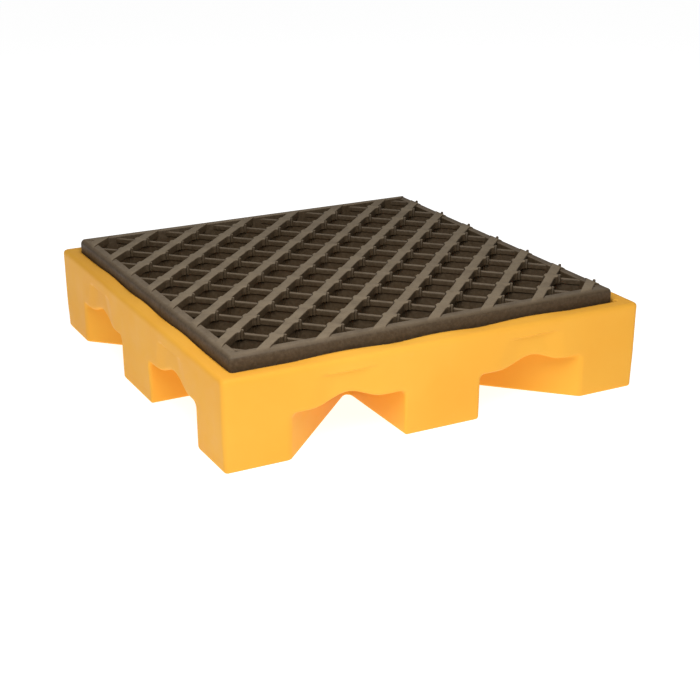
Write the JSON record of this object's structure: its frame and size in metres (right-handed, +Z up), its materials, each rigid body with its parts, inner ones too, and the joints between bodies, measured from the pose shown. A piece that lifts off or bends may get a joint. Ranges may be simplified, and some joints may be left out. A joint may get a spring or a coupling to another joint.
{
  "type": "spill containment pallet",
  "caption": "Low square spill pallet for one drum: a moulded sump tray on moulded legs with a lift-out grating of crossed diagonal ribs.",
  "frame": {"origin": "middle of the square footprint, on the floor", "axes": "+Z up; +X and +Y along the tray's two side directions; the grating's main ribs run along the +X+Y diagonal"},
  "size_m": [0.66, 0.66, 0.152],
  "materials": {
    "tray_plastic": "rotationally moulded polyethylene, warm yellow, smooth and slightly waxy",
    "grating_plastic": "moulded polyethylene, brownish black, dull with a faint sheen on the rib tops"
  },
  "bodies": {
    "tray": {"sump_tray": "tray_plastic"},
    "grating": {"lift_out_grating": "grating_plastic"}
  },
  "joints": [
    {"name": "grating_lift", "type": "slide", "parent": "tray", "child": "grating", "axis": [0, 0, 1], "range_m": [0, 0.15]}
  ]
}
